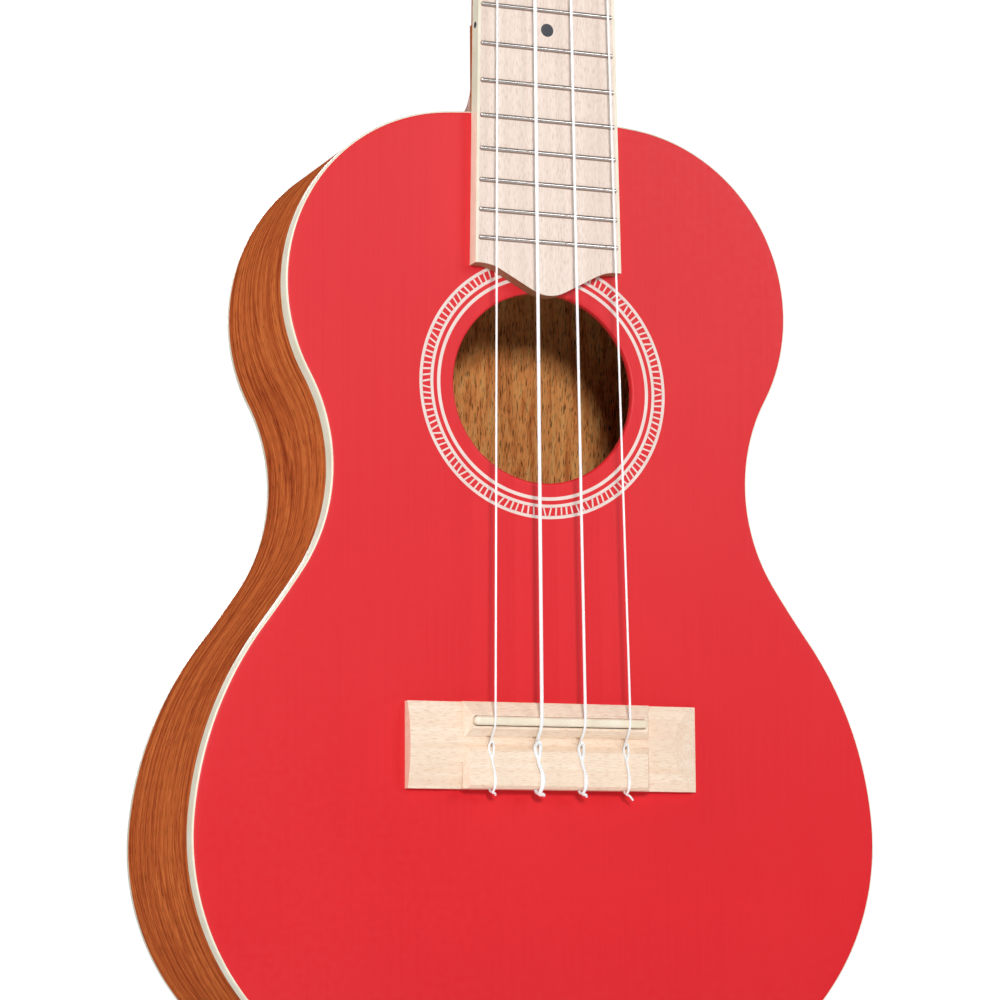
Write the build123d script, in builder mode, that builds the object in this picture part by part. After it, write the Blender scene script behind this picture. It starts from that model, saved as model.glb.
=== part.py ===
from build123d import *
import os
from math import cos, radians, sin

# Concert ukulele, in millimetres. X points right as seen from the front, Y into the instrument, Z up
# the neck. The origin is the middle of the neck's front face at the nut, where a wall hanger holds it.

# Strings and frets
scale_length = 380.0
fret_count = 18
string_radii = (0.30, 0.50, 0.40, 0.30)
string_x_nut = (-14.1, -4.7, 4.7, 14.1)
string_x_saddle = (-18.7, -5.25, 7.65, 21.1)
nut_slot_height = 5.7
saddle_height = 9.0

# Body
saddle_z = -scale_length
body_top_z = saddle_z + 172.2
rim_arcs = ((283.0, -5.9), (51.7, -113.3), (51.9, 62.8), (346.0, 3.0), (98.6, -32.0), (68.3, -50.6))
depth_at_neck = 52.5
depth_slope = 0.07
beyond_back = 95.0
soundboard_t = 2.0
back_t = 2.0
side_t = 2.2
binding_t = 1.4
front_binding_h = 5.0
back_binding_h = 2.5
lining_t = 4.0
lining_h = 7.0
block_half_width = 22.0
neck_block_t = 15.0
tail_block_t = 10.0
brace_t = 6.0
brace_h = 8.0

# Sound hole and rosette
hole_z = saddle_z + 93.9
hole_radius = 26.9
rosette_rings = ((37.0, 32.9), (31.85, 30.85))
rosette_t = 0.5

# Bridge and saddle
bridge_x = 1.4
bridge_half_length = 42.8
bridge_top = 5.4
bridge_bottom = -18.2
bridge_edge_h = 2.2
bridge_crown_h = 4.55
facet_slope = 0.37
facet_end_h = 1.66
block_half_length = 26.0
cove_w = 1.6
ramp_top_h = 6.9
channel_h = 3.4
tie_height = 6.4
tie_hole_y = -4.4
tie_hole_radius = 0.8
saddle_half_length = 25.5
saddle_t = 2.4
saddle_seat = 3.2
saddle_slot_t = 2.8

# Fretboard and nut
board_t = 4.5
board_half_at_nut = 18.0
board_half_at_end = 22.0
board_corner_z = saddle_z + 127.2
board_end_turn = 28.5
board_end_level = 20.3
board_shoulder_radius = 12.0
board_tip_radius = 10.0
board_binding_t = 0.8
slot_w = 0.6
slot_depth = 1.6
fret_half_w = 0.7
fret_h = 0.65
fret_bevel = 0.4
dot_frets = (5, 7, 10, 12)
dot_radius = 1.9
dot_t = 0.8
side_dot_radius = 0.9
nut_w = 4.0
nut_top = 7.2

# Neck, heel and headstock
neck_edge_h = 1.0
neck_t_nut = 13.5
neck_t_heel = 14.5
heel_radius = 18.0
heel_foot = 6.0
heel_half_middle = 15.5
heel_half_at_cap = 13.0
cap_t = 2.0
head_angle = 10.0
head_t = 13.0
veneer_t = 1.5
head_length = 112.0

# Tuners, measured from the headstock's front face along its normal
post_x = 17.0
post_heights = (36.0, 76.0)
post_radius = 3.0
post_top = 12.0
bushing_radius = 3.7
bushing_flange_radius = 4.8
bushing_depth = 5.0
plate_t = 1.2
plate_half_w = 7.0
plate_top = 11.5
plate_bottom = -16.5
screw_heights = (9.0, -14.2)
screw_radius = 1.2
screw_length = 8.0
screw_head_radius = 1.9
screw_head_h = 1.2
gear_teeth = 14
gear_tip_radius = 6.0
gear_root_radius = 4.7
gear_t = 3.4
tenon_radius = 1.9
worm_radius = 2.6
worm_root_radius = 1.9
worm_gap = 0.12
worm_ridge_pitch = 2.4
shaft_radius = 1.5
ear_x = 5.2
ear_t = 1.3
running_gap = 0.06
button_start = 14.5
button_half_t = 4.2
winding_low = 3.6
string_post_gap = 0.3

os.makedirs("parts", exist_ok=True)


def save(piece, label):
    piece.part.label = label
    export_step(piece.part, f"parts/{label}.step")


def board_half(z):
    """Half the fretboard's width at height z."""
    share = z / board_corner_z
    return board_half_at_nut + share * (board_half_at_end - board_half_at_nut)


def fret_z(number):
    return saddle_z + scale_length * 2 ** (-number / 12)


# ---------------------------------------------------------------- body
back_plane = Plane(
    origin=(0, depth_at_neck, body_top_z), x_dir=(1, 0, 0), z_dir=(0, 1, depth_slope)
)
back_axis = Axis((0, 0, 0), (0, 1, depth_slope))


def rim(inset, depth):
    """The body's outline at a depth, moved inwards: tangent arcs down one side, mirrored."""
    with BuildSketch(Plane.XZ.offset(-depth)) as outline:
        with BuildLine():
            end = Vector(0, body_top_z - inset)
            heading = 0.0
            for radius, turn in rim_arcs:
                direction = (cos(radians(heading)), sin(radians(heading)))
                moved = radius + inset if turn > 0 else radius - inset
                end = JernArc(end, direction, moved, turn) @ 1
                heading += turn
            direction = (cos(radians(heading)), sin(radians(heading)))
            rest = 180.0 + heading
            JernArc(end, direction, end.X / sin(radians(rest)), -rest)
            mirror(about=Plane.YZ)
        make_face()
    return outline.sketch


def prism(inset, front, back, mode=Mode.ADD):
    """Adds the outline, moved inwards, as a solid between two depths."""
    extrude(rim(inset, front), amount=front - back, mode=mode)


def keep_layer(outer, inner):
    """Keeps what lies between two distances in from the back's outer face."""
    split(bisect_by=back_plane.offset(-outer), keep=Keep.BOTTOM)
    split(bisect_by=back_plane.offset(-inner), keep=Keep.TOP)


def keep_band(middle, width):
    """Keeps a level band around height middle."""
    split(bisect_by=Plane.XY.offset(middle - width / 2), keep=Keep.TOP)
    split(bisect_by=Plane.XY.offset(middle + width / 2), keep=Keep.BOTTOM)


with BuildPart() as front_binding:
    prism(0, 0, front_binding_h)
    prism(binding_t, 0, front_binding_h, Mode.SUBTRACT)
    fillet(front_binding.faces().sort_by(Axis.Y)[0].outer_wire().edges(), 0.7)
save(front_binding, "front_binding")

with BuildPart() as back_binding:
    prism(0, 0, beyond_back)
    prism(binding_t, 0, beyond_back, Mode.SUBTRACT)
    keep_layer(0, back_binding_h)
    fillet(back_binding.faces().sort_by(back_axis)[-1].outer_wire().edges(), 0.7)
save(back_binding, "back_binding")


def rosette_sketch():
    with BuildSketch(Plane.XZ) as rings:
        with Locations((0, hole_z)):
            for outer, inner in rosette_rings:
                Circle(outer)
                Circle(inner, mode=Mode.SUBTRACT)
    return rings.sketch


with BuildPart() as soundboard:
    prism(binding_t, 0, soundboard_t)
    with BuildSketch(Plane.XZ):
        with Locations((0, hole_z)):
            Circle(hole_radius)
    extrude(amount=-soundboard_t, mode=Mode.SUBTRACT)
    extrude(rosette_sketch(), amount=-rosette_t, mode=Mode.SUBTRACT)
save(soundboard, "soundboard")

with BuildPart() as rosette:
    extrude(rosette_sketch(), amount=-rosette_t)
save(rosette, "rosette")

with BuildPart() as back:
    prism(binding_t, 0, beyond_back)
    keep_layer(0, back_t)
save(back, "back")

for label, half in (("side_left", Keep.BOTTOM), ("side_right", Keep.TOP)):
    with BuildPart() as side:
        prism(0, soundboard_t, beyond_back)
        prism(side_t, soundboard_t, beyond_back, Mode.SUBTRACT)
        split(bisect_by=back_plane.offset(-back_t), keep=Keep.BOTTOM)
        add(front_binding.part, mode=Mode.SUBTRACT)
        add(back_binding.part, mode=Mode.SUBTRACT)
        split(bisect_by=Plane.YZ, keep=half)
    save(side, label)

with BuildPart() as neck_block:
    prism(side_t, soundboard_t, beyond_back)
    split(bisect_by=back_plane.offset(-back_t), keep=Keep.BOTTOM)
    split(bisect_by=Plane.XY.offset(body_top_z - side_t - neck_block_t), keep=Keep.TOP)
    split(bisect_by=Plane.YZ.offset(block_half_width), keep=Keep.BOTTOM)
    split(bisect_by=Plane.YZ.offset(-block_half_width), keep=Keep.TOP)
save(neck_block, "neck_block")

tail_z = back_binding.part.bounding_box().min.Z
with BuildPart() as tail_block:
    prism(side_t, soundboard_t, beyond_back)
    split(bisect_by=back_plane.offset(-back_t), keep=Keep.BOTTOM)
    split(bisect_by=Plane.XY.offset(tail_z + side_t + tail_block_t), keep=Keep.BOTTOM)
    split(bisect_by=Plane.YZ.offset(block_half_width), keep=Keep.BOTTOM)
    split(bisect_by=Plane.YZ.offset(-block_half_width), keep=Keep.TOP)
save(tail_block, "tail_block")

with BuildPart() as front_lining:
    prism(side_t, soundboard_t, soundboard_t + lining_h)
    prism(side_t + lining_t, soundboard_t, soundboard_t + lining_h, Mode.SUBTRACT)
    add(neck_block.part, mode=Mode.SUBTRACT)
    add(tail_block.part, mode=Mode.SUBTRACT)
save(front_lining, "front_lining")

with BuildPart() as back_lining:
    prism(side_t, 0, beyond_back)
    prism(side_t + lining_t, 0, beyond_back, Mode.SUBTRACT)
    keep_layer(back_t, back_t + lining_h)
    add(neck_block.part, mode=Mode.SUBTRACT)
    add(tail_block.part, mode=Mode.SUBTRACT)
save(back_lining, "back_lining")

for label, above_saddle in (("upper_top_brace", 143.0), ("lower_top_brace", 50.0)):
    with BuildPart() as brace:
        prism(side_t + lining_t, soundboard_t, soundboard_t + brace_h)
        keep_band(saddle_z + above_saddle, brace_t)
        fillet(brace.edges().filter_by(Axis.X).group_by(Axis.Y)[-1], 1.5)
    save(brace, label)

for label, above_saddle in (("upper_back_brace", 146.0), ("lower_back_brace", -10.0)):
    with BuildPart() as brace:
        prism(side_t + lining_t, 0, beyond_back)
        keep_layer(back_t, back_t + brace_h)
        keep_band(saddle_z + above_saddle, brace_t)
        fillet(brace.edges().filter_by(Axis.X).group_by(Axis.Y)[0], 1.5)
    save(brace, label)

with BuildPart() as bridge_plate:
    with BuildSketch(Plane.XZ.offset(-soundboard_t)):
        with Locations((0, saddle_z - 6.0)):
            RectangleRounded(104, 32, 3)
    extrude(amount=-2.0)
save(bridge_plate, "bridge_plate")

# ---------------------------------------------------------------- bridge and saddle
# The bridge stands a little to the right of the neck's middle line
bridge_middle = Plane.YZ.offset(bridge_x)
bridge_foot = Plane(origin=(bridge_x, 0, saddle_z + bridge_bottom))

with BuildPart() as saddle:
    with BuildSketch(Plane.XZ.offset(saddle_seat)):
        with Locations((bridge_x, saddle_z)):
            RectangleRounded(2 * saddle_half_length, saddle_t, 1.0)
    extrude(amount=saddle_height - saddle_seat)
    fillet(saddle.faces().sort_by(Axis.Y)[0].edges(), 0.9)
save(saddle, "saddle")

with BuildPart() as bridge_block:
    # Middle block: ramp, flat land round the saddle, string channel, bevel and tie block
    with BuildSketch(bridge_middle):
        with BuildLine():
            heights = (bridge_top, bridge_top, 1.8, -2.1, -5.2, -8.2, -17.4, bridge_bottom, bridge_bottom)
            depths = (0, 4.2, ramp_top_h, ramp_top_h, channel_h, tie_height, tie_height, 5.6, 0)
            Polyline([(-y, saddle_z + z) for y, z in zip(depths, heights)], close=True)
        make_face()
    extrude(amount=block_half_length + cove_w, both=True)
    # Its ends sweep down to the wings in a cove
    with BuildSketch(bridge_foot):
        with BuildLine():
            cove_end = (block_half_length + cove_w, -bridge_crown_h + 0.4)
            cove_middle = (block_half_length + 0.5, -ramp_top_h + 1.2)
            block_end = (block_half_length, -ramp_top_h)
            Polyline((0, 0), (cove_end[0], 0), cove_end)
            ThreePointArc(cove_end, cove_middle, block_end)
            Line(block_end, (0, -ramp_top_h))
            mirror(about=Plane.YZ)
        make_face()
    extrude(amount=bridge_top - bridge_bottom, mode=Mode.INTERSECT)

with BuildPart() as bridge:
    # Wings: crowned along the strings, with a flat facet falling to each thin outer end
    with BuildSketch(bridge_middle):
        with BuildLine():
            front_edge = (-bridge_edge_h, saddle_z + bridge_top)
            crown = (-bridge_crown_h, saddle_z + (bridge_top + bridge_bottom) / 2)
            back_edge = (-bridge_edge_h, saddle_z + bridge_bottom)
            Polyline(back_edge, (0, back_edge[1]), (0, front_edge[1]), front_edge)
            ThreePointArc(front_edge, crown, back_edge)
        make_face()
    extrude(amount=bridge_half_length, both=True)
    with BuildSketch(bridge_foot):
        with BuildLine():
            outer = bridge_half_length + 1
            low = facet_end_h - facet_slope
            high = low + 10 * facet_slope
            Polyline((outer, -low), (outer - 10, -high), (outer, -high), close=True)
            mirror(about=Plane.YZ)
        make_face()
    extrude(amount=bridge_top - bridge_bottom, mode=Mode.SUBTRACT)
    add(bridge_block.part)
    with BuildSketch(Plane.XZ.offset(saddle_seat)):
        with Locations((bridge_x, saddle_z)):
            RectangleRounded(2 * saddle_half_length + 0.2, saddle_slot_t, 1.0)
    extrude(amount=saddle_height - saddle_seat, mode=Mode.SUBTRACT)
    with BuildSketch(Plane.XY.offset(saddle_z + bridge_bottom)):
        for x in string_x_saddle:
            with Locations((x, tie_hole_y)):
                Circle(tie_hole_radius)
    extrude(amount=14.3, mode=Mode.SUBTRACT)
save(bridge, "bridge")

# ---------------------------------------------------------------- fretboard, frets, dots and nut


def board_outline():
    """The fretboard seen from the front: a long taper whose end runs out to a rounded point."""
    turn = radians(board_end_turn)
    curved = (board_shoulder_radius + board_tip_radius) * sin(turn)
    with BuildSketch(Plane.XZ) as outline:
        with BuildLine():
            corner = (board_half_at_end, board_corner_z)
            Polyline((0, 0), (board_half_at_nut, 0), corner)
            level = Line(corner, (board_end_level, board_corner_z))
            shoulder = JernArc(level @ 1, (-1, 0), board_shoulder_radius, board_end_turn)
            straight = (board_end_level - curved) / cos(turn)
            slope = PolarLine(shoulder @ 1, straight, direction=shoulder % 1)
            JernArc(slope @ 1, slope % 1, board_tip_radius, -board_end_turn)
            mirror(about=Plane.YZ)
        make_face()
    return outline.sketch


def board_core():
    """The fretboard between its two bindings, with room past both ends."""
    with BuildSketch(Plane.XZ) as core:
        ends = (10.0, board_corner_z - 20.0)
        right = [(board_half(z) - board_binding_t, z) for z in ends]
        left = [(-x, z) for x, z in reversed(right)]
        Polygon(*right, *left, align=None)
    return core.sketch


with BuildPart() as position_dots:
    with BuildSketch(Plane.XZ.offset(board_t)):
        for number in dot_frets:
            with Locations((0, (fret_z(number) + fret_z(number - 1)) / 2)):
                Circle(dot_radius)
    extrude(amount=-dot_t)
save(position_dots, "position_dots")

with BuildPart() as side_dots:
    for number in dot_frets:
        z = (fret_z(number) + fret_z(number - 1)) / 2
        with BuildSketch(Plane.YZ.offset(-board_half(z) - 0.05)):
            with Locations((-board_t / 2, z)):
                Circle(side_dot_radius)
        extrude(amount=dot_t)
save(side_dots, "side_dots")

with BuildPart() as fretboard_binding:
    extrude(board_outline(), amount=board_t)
    extrude(board_core(), amount=board_t, mode=Mode.SUBTRACT)
    add(side_dots.part, mode=Mode.SUBTRACT)
save(fretboard_binding, "fretboard_binding")

with BuildPart() as frets:
    for number in range(1, fret_count + 1):
        z = fret_z(number)
        half = board_half(z + fret_half_w) - board_binding_t
        with BuildSketch(Plane.YZ):
            with BuildLine():
                low = (-board_t, z - fret_half_w)
                high = (-board_t, z + fret_half_w)
                ThreePointArc(low, (-board_t - fret_h, z), high)
                Line(high, low)
            make_face()
        extrude(amount=half, both=True)
        with BuildSketch(Plane.YZ):
            with Locations((-board_t + slot_depth / 2, z)):
                Rectangle(slot_depth, slot_w)
        extrude(amount=half, both=True)
    chamfer(frets.edges().filter_by(GeomType.CIRCLE), fret_bevel)
save(frets, "frets")

with BuildPart() as fretboard:
    extrude(board_outline(), amount=board_t)
    extrude(board_core(), amount=board_t, mode=Mode.INTERSECT)
    add(frets.part, mode=Mode.SUBTRACT)
    add(position_dots.part, mode=Mode.SUBTRACT)
save(fretboard, "fretboard")

with BuildPart() as nut:
    with BuildSketch(Plane.XY):
        with Locations((0, -nut_top / 2)):
            Rectangle(2 * board_half_at_nut, nut_top)
    extrude(amount=nut_w)
    fillet(nut.edges().filter_by(Axis.X).group_by(Axis.Y)[0], 1.0)
    with BuildSketch(Plane.XY):
        for x, radius in zip(string_x_nut, string_radii):
            with Locations((x, -nut_slot_height - radius)):
                Circle(radius + 0.08)
            with Locations((x, -nut_slot_height - radius - 1.0)):
                Rectangle(2 * radius + 0.16, 2.0)
    extrude(amount=nut_w, mode=Mode.SUBTRACT)
save(nut, "nut")

# ---------------------------------------------------------------- neck, heel and headstock
tilt = radians(head_angle)
head_plane = Plane(origin=(0, 0, nut_w), x_dir=(1, 0, 0), z_dir=(0, -cos(tilt), sin(tilt)))
tuner_places = [(side, height) for side in (-1, 1) for height in post_heights]


def tuner_seat(side, height):
    """A plane at a tuning post's axis, level with the headstock's front face."""
    origin = head_plane.from_local_coords((side * post_x, height, 0))
    return Plane(origin=origin, x_dir=(1, 0, 0), z_dir=head_plane.z_dir)


def head_outline(start):
    """The headstock: a quick flare from the nut, straight sides and a shallow crest."""
    with BuildSketch(head_plane) as outline:
        with BuildLine():
            Line((0, start), (board_half_at_nut, start))
            flare = Spline(
                (board_half_at_nut, start), (24.6, 13.0), (26.6, 24.0), tangents=((0.25, 1), (0.06, 1))
            )
            Line(flare @ 1, (29.5, 96.0))
            crest = Spline(
                (29.5, 96.0),
                (26.0, 105.5),
                (15.0, 107.0),
                (0, head_length),
                tangents=((0.05, 1), (-1, 0)),
            )
            mirror(about=Plane.YZ)
        make_face()
    return outline.sketch


def at_posts(radius):
    with BuildSketch(head_plane) as circles:
        for side, height in tuner_places:
            with Locations((side * post_x, height)):
                Circle(radius)
    return circles.sketch


def neck_section(z, half_width, side_height, thickness):
    """A neck cross-section: flat front, straight sides and a round back."""
    with BuildSketch(Plane.XY.offset(z)) as section:
        with BuildLine():
            left, right = (-half_width, side_height), (half_width, side_height)
            Polyline(left, (-half_width, 0), (half_width, 0), right)
            ThreePointArc(right, (0, thickness), left)
        make_face()
    return section.sketch


with BuildPart() as heel:
    foot_z = body_top_z - 3.0
    arc_top = body_top_z + heel_foot + heel_radius
    with BuildSketch(Plane.XY.offset(foot_z)):
        wide = board_half(body_top_z)
        back_y = depth_at_neck + 5
        with BuildLine():
            Polyline((0, 0), (wide, 0), (wide, neck_edge_h))
            Spline(
                (wide, neck_edge_h),
                (heel_half_middle, neck_t_heel),
                (heel_half_at_cap, back_y),
                tangents=((-0.5, 1), (0, 1)),
            )
            Line((heel_half_at_cap, back_y), (0, back_y))
            mirror(about=Plane.YZ)
        make_face()
    extrude(amount=arc_top - foot_z)
    with BuildSketch(Plane.YZ):
        arc_start = (neck_t_heel - 0.5, arc_top)
        arc_end = (neck_t_heel - 0.5 + heel_radius, arc_top - heel_radius)
        with BuildLine():
            Polyline(arc_end, (back_y, arc_end[1]), (back_y, foot_z), (0, foot_z), (0, arc_top), arc_start)
            RadiusArc(arc_start, arc_end, -heel_radius)
        make_face()
    extrude(amount=40, both=True, mode=Mode.INTERSECT)
    prism(0, -1, beyond_back, Mode.SUBTRACT)
    split(bisect_by=back_plane, keep=Keep.BOTTOM)

with BuildPart() as heel_cap:
    add(heel.part)
    split(bisect_by=back_plane.offset(-cap_t), keep=Keep.TOP)
save(heel_cap, "heel_cap")


with BuildPart() as tuner_screws:
    for side, height in tuner_places:
        seat = tuner_seat(side, height)
        for screw_height in screw_heights:
            origin = seat.from_local_coords((0, screw_height, -head_t - plate_t))
            plane = Plane(origin=origin, x_dir=(1, 0, 0), z_dir=head_plane.z_dir)
            with BuildSketch(plane):
                Circle(screw_head_radius)
            extrude(amount=-screw_head_h)
            with BuildSketch(plane):
                Circle(screw_radius)
            extrude(amount=screw_length)
save(tuner_screws, "tuner_screws")

with BuildPart() as neck:
    loft(
        [
            neck_section(body_top_z - 3, board_half(body_top_z), neck_edge_h, neck_t_heel),
            neck_section(-14.0, board_half(-14.0), neck_edge_h, neck_t_nut),
            neck_section(nut_w + 1, board_half_at_nut, 10.5, neck_t_nut),
        ],
        ruled=True,
    )
    prism(0, -1, beyond_back, Mode.SUBTRACT)
    add(heel.part)
    split(bisect_by=back_plane.offset(-cap_t), keep=Keep.BOTTOM)
    split(bisect_by=head_plane, keep=Keep.BOTTOM)
    extrude(head_outline(0), amount=-head_t)
    extrude(at_posts(bushing_radius), amount=-bushing_depth, mode=Mode.SUBTRACT)
    extrude(at_posts(post_radius + 0.3), amount=-head_t, mode=Mode.SUBTRACT)
    add(tuner_screws.part, mode=Mode.SUBTRACT)
save(neck, "neck")

with BuildPart() as headstock_veneer:
    extrude(head_outline(0.4), amount=veneer_t)
    extrude(at_posts(bushing_radius), amount=veneer_t, mode=Mode.SUBTRACT)
save(headstock_veneer, "headstock_veneer")

# ---------------------------------------------------------------- tuners
gear_middle = -head_t - plate_t - worm_radius - 0.15
gear_face = gear_middle + gear_t / 2
worm_drop = gear_tip_radius + worm_gap + worm_radius
ear_end = gear_middle - worm_radius - 0.6

for index, (side, height) in enumerate(tuner_places, start=1):
    seat = tuner_seat(side, height)
    name = f"tuner_{index}"
    worm_origin = seat.from_local_coords((0, -worm_drop, gear_middle))
    worm_plane = Plane(origin=worm_origin, x_dir=head_plane.z_dir, z_dir=(side, 0, 0))
    worm_axis = Axis(worm_origin, (side, 0, 0))
    worm_profile = Plane(origin=worm_origin, x_dir=(side, 0, 0), z_dir=head_plane.z_dir)
    post_profile = Plane(origin=seat.origin, x_dir=(1, 0, 0), z_dir=-head_plane.y_dir)
    post_axis = Axis(seat.origin, head_plane.z_dir)

    with BuildPart() as bushing:
        with BuildSketch(post_profile):
            with BuildLine():
                inner = post_radius + running_gap
                Polyline(
                    (inner, -bushing_depth),
                    (bushing_radius, -bushing_depth),
                    (bushing_radius, veneer_t),
                    (bushing_flange_radius, veneer_t),
                    (bushing_flange_radius, veneer_t + 0.5),
                    (inner + 0.6, veneer_t + 1.2),
                    (inner, veneer_t + 1.2),
                    close=True,
                )
            make_face()
        revolve(axis=post_axis)
    save(bushing, f"{name}_bushing")

    with BuildPart() as plate:
        with BuildSketch(seat.offset(-head_t)):
            with Locations((0, (plate_top + plate_bottom) / 2)):
                RectangleRounded(2 * plate_half_w, plate_top - plate_bottom, 2.0)
            Circle(post_radius + running_gap, mode=Mode.SUBTRACT)
            for screw_height in screw_heights:
                with Locations((0, screw_height)):
                    Circle(screw_radius, mode=Mode.SUBTRACT)
        extrude(amount=-plate_t)
        with BuildSketch(seat.offset(-head_t - plate_t)):
            with Locations((-ear_x, -worm_drop), (ear_x, -worm_drop)):
                Rectangle(ear_t, 2 * worm_radius + 0.6)
        extrude(amount=ear_end + head_t + plate_t)
        with BuildSketch(worm_plane.offset(-ear_x - ear_t)):
            Circle(shaft_radius + running_gap)
        extrude(amount=2 * (ear_x + ear_t), mode=Mode.SUBTRACT)
    save(plate, f"{name}_plate")

    with BuildPart() as post:
        with BuildSketch(post_profile):
            with BuildLine():
                Polyline(
                    (0, gear_face - gear_t - 0.9),
                    (tenon_radius, gear_face - gear_t - 0.9),
                    (tenon_radius + 0.7, gear_face - gear_t),
                    (tenon_radius, gear_face - gear_t),
                    (tenon_radius, gear_face),
                    (post_radius, gear_face),
                    (post_radius, post_top - 0.8),
                    (post_radius - 0.8, post_top),
                    (0, post_top),
                    close=True,
                )
            make_face()
        revolve(axis=post_axis)
        with BuildSketch(Plane(seat.offset(post_top - 2.6).origin, x_dir=head_plane.z_dir, z_dir=(1, 0, 0))):
            Circle(0.8)
        extrude(amount=post_radius, both=True, mode=Mode.SUBTRACT)
    save(post, f"{name}_post")

    with BuildPart() as gear:
        with BuildSketch(seat.offset(gear_face)):
            Circle(gear_root_radius)
            with PolarLocations(0, gear_teeth, start_angle=90):
                Polygon(
                    (gear_root_radius - 0.4, -0.75),
                    (gear_tip_radius - 0.05, -0.35),
                    (gear_tip_radius - 0.05, 0.35),
                    (gear_root_radius - 0.4, 0.75),
                    align=None,
                )
            Circle(tenon_radius, mode=Mode.SUBTRACT)
        extrude(amount=-gear_t)
    save(gear, f"{name}_gear")

    with BuildPart() as worm:
        with BuildSketch(worm_profile):
            with BuildLine():
                length = ear_x - ear_t / 2 - 0.15
                crests = [k * worm_ridge_pitch for k in (-1, 0, 1)]
                outline = [(-ear_x - 2.0, 0), (-ear_x - 2.0, shaft_radius), (-length, shaft_radius)]
                outline.append((-length, worm_root_radius))
                for crest in crests:
                    outline.append((crest - 0.75, worm_root_radius))
                    outline.append((crest - 0.35, worm_radius))
                    outline.append((crest + 0.35, worm_radius))
                    outline.append((crest + 0.75, worm_root_radius))
                outline += [(length, worm_root_radius), (length, shaft_radius)]
                outline += [(button_start + 6.0, shaft_radius), (button_start + 6.0, 0)]
                Polyline(outline, close=True)
            make_face()
        revolve(axis=worm_axis)
    save(worm, f"{name}_worm")

    with BuildPart() as button:
        with BuildSketch(worm_profile):
            with BuildLine():
                tip = button_start + 15.0
                Polyline((tip, 0), (button_start, 0), (button_start, 2.9), (button_start + 2.2, 2.9))
                Spline(
                    (button_start + 2.2, 2.9),
                    (button_start + 5.5, 6.6),
                    (button_start + 10.0, 7.6),
                    (tip, 0),
                    tangents=((1, 0.5), (0, -1)),
                )
            make_face()
        revolve(axis=worm_axis)
        split(bisect_by=seat.offset(gear_middle + button_half_t), keep=Keep.BOTTOM)
        split(bisect_by=seat.offset(gear_middle - button_half_t), keep=Keep.TOP)
        add(worm.part, mode=Mode.SUBTRACT)
    save(button, f"{name}_button")

# ---------------------------------------------------------------- strings
# Tuners 1 and 2 stand on the left, 3 and 4 on the right; the outer strings go to the nearer posts.
string_tuners = (1, 2, 4, 3)

for index, tuner in enumerate(string_tuners):
    radius = string_radii[index]
    side, height = tuner_places[tuner - 1]
    seat = tuner_seat(side, height)
    nut_x = string_x_nut[index]
    saddle_x = string_x_saddle[index]
    turns_top = winding_low + 6 * radius

    with BuildPart() as winding:
        profile = Plane(origin=seat.origin, x_dir=(1, 0, 0), z_dir=-head_plane.y_dir)
        with BuildSketch(profile):
            with Locations((post_radius + radius, (winding_low + turns_top) / 2)):
                RectangleRounded(2 * radius, 6 * radius, 0.8 * radius)
        revolve(axis=Axis(seat.origin, head_plane.z_dir))
    save(winding, f"string_{index + 1}_winding")

    with BuildPart() as string:
        # The run meets the post's winding on its inner side, one string's height above it
        reach = post_radius + radius + string_post_gap
        post_end = head_plane.from_local_coords(
            (side * (post_x - reach), height, turns_top + radius + string_post_gap)
        )
        with BuildLine():
            over_block = -tie_height - radius - 0.3
            behind = saddle_z + bridge_bottom - 1.6
            route = FilletPolyline(
                (saddle_x, over_block, saddle_z - 9.5),
                (saddle_x, over_block, behind),
                (saddle_x, tie_hole_y, behind),
                (saddle_x, tie_hole_y, saddle_z - 5.0),
                (saddle_x, -saddle_height - radius - 0.15, saddle_z - 1.2),
                (nut_x, -nut_slot_height - radius, nut_w + 0.6),
                post_end,
                radius=1.1,
            )
        with BuildSketch(Plane(origin=route @ 0, z_dir=route % 0)):
            Circle(radius)
        sweep(path=route)
    save(string, f"string_{index + 1}")
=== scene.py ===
import math
import random

import bmesh
import bpy
from mathutils import Matrix, Vector


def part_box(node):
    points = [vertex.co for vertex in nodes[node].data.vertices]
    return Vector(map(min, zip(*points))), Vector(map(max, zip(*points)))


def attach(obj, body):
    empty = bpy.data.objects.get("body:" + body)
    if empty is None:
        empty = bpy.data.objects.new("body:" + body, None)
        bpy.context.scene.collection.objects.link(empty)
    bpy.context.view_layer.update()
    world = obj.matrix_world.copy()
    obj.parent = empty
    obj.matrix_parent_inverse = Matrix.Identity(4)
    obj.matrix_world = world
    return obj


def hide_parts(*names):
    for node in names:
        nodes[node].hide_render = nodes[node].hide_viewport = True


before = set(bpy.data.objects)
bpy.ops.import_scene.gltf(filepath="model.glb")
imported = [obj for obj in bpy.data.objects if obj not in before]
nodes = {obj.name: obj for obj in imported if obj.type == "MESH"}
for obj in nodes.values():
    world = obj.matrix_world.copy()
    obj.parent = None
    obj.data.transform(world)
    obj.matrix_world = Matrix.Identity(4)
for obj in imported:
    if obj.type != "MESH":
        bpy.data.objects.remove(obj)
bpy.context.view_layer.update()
random.seed(7)

# Design sizes in millimetres, the same as the CAD part's. Scene geometry is made in metres.
MM = 0.001
RIM_ARCS = ((283.0, -5.9), (51.7, -113.3), (51.9, 62.8), (346.0, 3.0), (98.6, -32.0), (68.3, -50.6))
BINDING_T = 1.4
BINDING_H = 5.0
BACK_BINDING_H = 2.5
SIDE_T = 2.2
SOUNDBOARD_T = 2.0
BACK_T = 2.0
DEPTH_AT_NECK = 52.5
DEPTH_SLOPE = 0.07
STRING_R = (0.30, 0.50, 0.40, 0.30)
STRING_TUNER = (1, 2, 4, 3)
HEAD_TILT = math.radians(10.0)

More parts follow.
